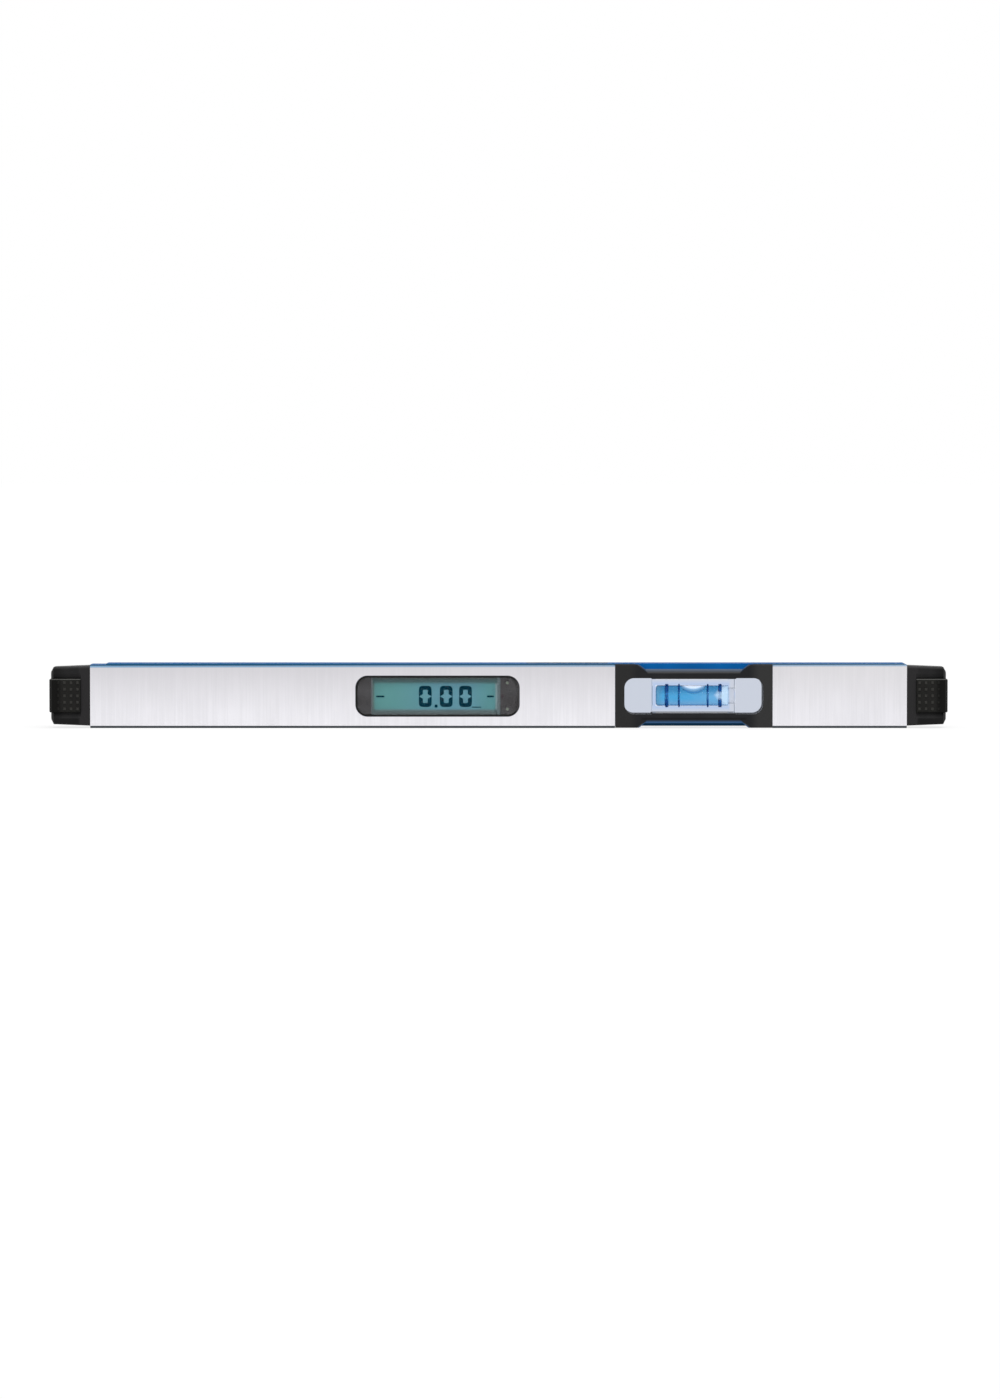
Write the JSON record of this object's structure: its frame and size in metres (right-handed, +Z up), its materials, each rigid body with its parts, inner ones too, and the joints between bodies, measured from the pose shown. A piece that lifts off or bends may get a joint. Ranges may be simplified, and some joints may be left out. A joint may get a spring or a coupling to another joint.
{
  "type": "digital box level",
  "caption": "Metal box level with an angle display, a block vial seen from both sides, black end caps with rubber bumpers, a keypad in the top and a battery door in the back.",
  "frame": {"origin": "centre of the base, halfway along the level and halfway through its depth", "axes": "+X along the level towards the vial's end, -Y out of the display, +Z up"},
  "size_m": [0.6, 0.0256, 0.0432],
  "materials": {
    "core_blue": "blue powder coat on an extrusion",
    "jacket_silver": "cross brushed, clear anodised sheet",
    "rail_blue": "blue powder coat on a flat strip",
    "cap_black": "fine moulded texture",
    "bumper_rubber": "soft matt rubber",
    "bezel_black": "fine moulded texture",
    "steel_screw": "zinc plated",
    "vial_clear": "polished clear acrylic",
    "vial_plug_clear": "clear acrylic, cemented in",
    "vial_ink": "dark blue rings",
    "vial_fluid": "clear blue liquid",
    "vial_air": "bubble in the liquid",
    "display_black": "satin moulded rim",
    "lens_smoke": "clear acrylic window",
    "lcd_teal": "grey green liquid crystal cell",
    "backlight_white": "white light guide",
    "strip_rubber": "striped contact rubber",
    "inner_plastic": "plain moulding",
    "led_red": "tinted light pipe",
    "led_green": "tinted light pipe",
    "board_green": "solder mask on glass epoxy",
    "sensor_can": "plated can",
    "chip_black": "moulded package",
    "socket_white": "ivory nylon",
    "key_grey": "grey silicone key",
    "key_blue": "blue silicone key",
    "dome_clear": "silicone dome",
    "flex_amber": "polyimide ribbon",
    "cell_jacket": "plain printed sleeve on a steel can",
    "contact_nickel": "nickel plated spring steel",
    "door_black": "fine moulded texture",
    "seal_rubber": "foam rubber",
    "lead_red": "red insulation",
    "lead_black": "black insulation"
  },
  "bodies": {
    "level": {"box_profile": "core_blue", "jacket_left": "jacket_silver", "jacket_right": "jacket_silver", "top_rail": "rail_blue", "end_cap_left": "cap_black", "end_cap_right": "cap_black", "bumper_left": "bumper_rubber", "bumper_right": "bumper_rubber", "vial_bezel_front": "bezel_black", "vial_bezel_rear": "bezel_black", "vial_bezel_screws": "steel_screw", "board_screws": "steel_screw", "keypad_screws": "steel_screw", "vial_block": "vial_clear", "vial_plug": "vial_plug_clear", "vial_level_lines": "vial_ink", "vial_slope_rings": "vial_ink", "vial_liquid": "vial_fluid", "display_bezel": "display_black", "display_lens": "lens_smoke", "lcd_cell": "lcd_teal", "lcd_backlight": "backlight_white", "lcd_contact_strips": "strip_rubber", "display_carrier": "inner_plastic", "battery_tray": "inner_plastic", "keypad_frame": "inner_plastic", "level_led": "led_red", "tilt_leds": "led_green", "main_board": "board_green", "key_board": "board_green", "tilt_sensor": "sensor_can", "controller_chip": "chip_black", "buzzer": "chip_black", "battery_socket": "socket_white", "flex_socket": "socket_white", "dome_power": "dome_clear", "dome_mode": "dome_clear", "dome_hold": "dome_clear", "dome_zero": "dome_clear", "keypad_flex": "flex_amber", "battery_cells": "cell_jacket", "battery_contacts": "contact_nickel", "battery_lead_red": "lead_red", "battery_lead_black": "lead_black"},
    "battery_door": {"battery_door": "door_black", "door_seal": "seal_rubber"},
    "door_screw_left": {"door_screw_left": "steel_screw"},
    "door_screw_right": {"door_screw_right": "steel_screw"},
    "bubble": {"vial_bubble": "vial_air"},
    "button_power": {"button_power": "key_blue"},
    "button_mode": {"button_mode": "key_grey"},
    "button_hold": {"button_hold": "key_grey"},
    "button_zero": {"button_zero": "key_grey"}
  },
  "joints": [
    {"name": "power_press", "type": "slide", "parent": "level", "child": "button_power", "axis": [0, 0, -1], "range_m": [0, 0.0008], "stiffness_N_per_m": 2000, "deforming": ["dome_power"]},
    {"name": "mode_press", "type": "slide", "parent": "level", "child": "button_mode", "axis": [0, 0, -1], "range_m": [0, 0.0008], "stiffness_N_per_m": 2000, "deforming": ["dome_mode"]},
    {"name": "hold_press", "type": "slide", "parent": "level", "child": "button_hold", "axis": [0, 0, -1], "range_m": [0, 0.0008], "stiffness_N_per_m": 2000, "deforming": ["dome_hold"]},
    {"name": "zero_press", "type": "slide", "parent": "level", "child": "button_zero", "axis": [0, 0, -1], "range_m": [0, 0.0008], "stiffness_N_per_m": 2000, "deforming": ["dome_zero"]},
    {"name": "door_lift", "type": "slide", "parent": "level", "child": "battery_door", "axis": [0, 1, 0], "range_m": [0, 0.025]},
    {"name": "door_screw_left_turn", "type": "hinge", "parent": "battery_door", "child": "door_screw_left", "pos_m": [-0.12405, 0.012, 0.0214], "axis": [0, 1, 0], "continuous": true},
    {"name": "door_screw_right_turn", "type": "hinge", "parent": "battery_door", "child": "door_screw_right", "pos_m": [-0.18295, 0.012, 0.0214], "axis": [0, 1, 0], "continuous": true},
    {"name": "bubble_drift", "type": "slide", "parent": "level", "child": "bubble", "axis": [1, 0, 0], "range_m": [-0.015, 0.015], "stiffness_N_per_m": 5}
  ]
}
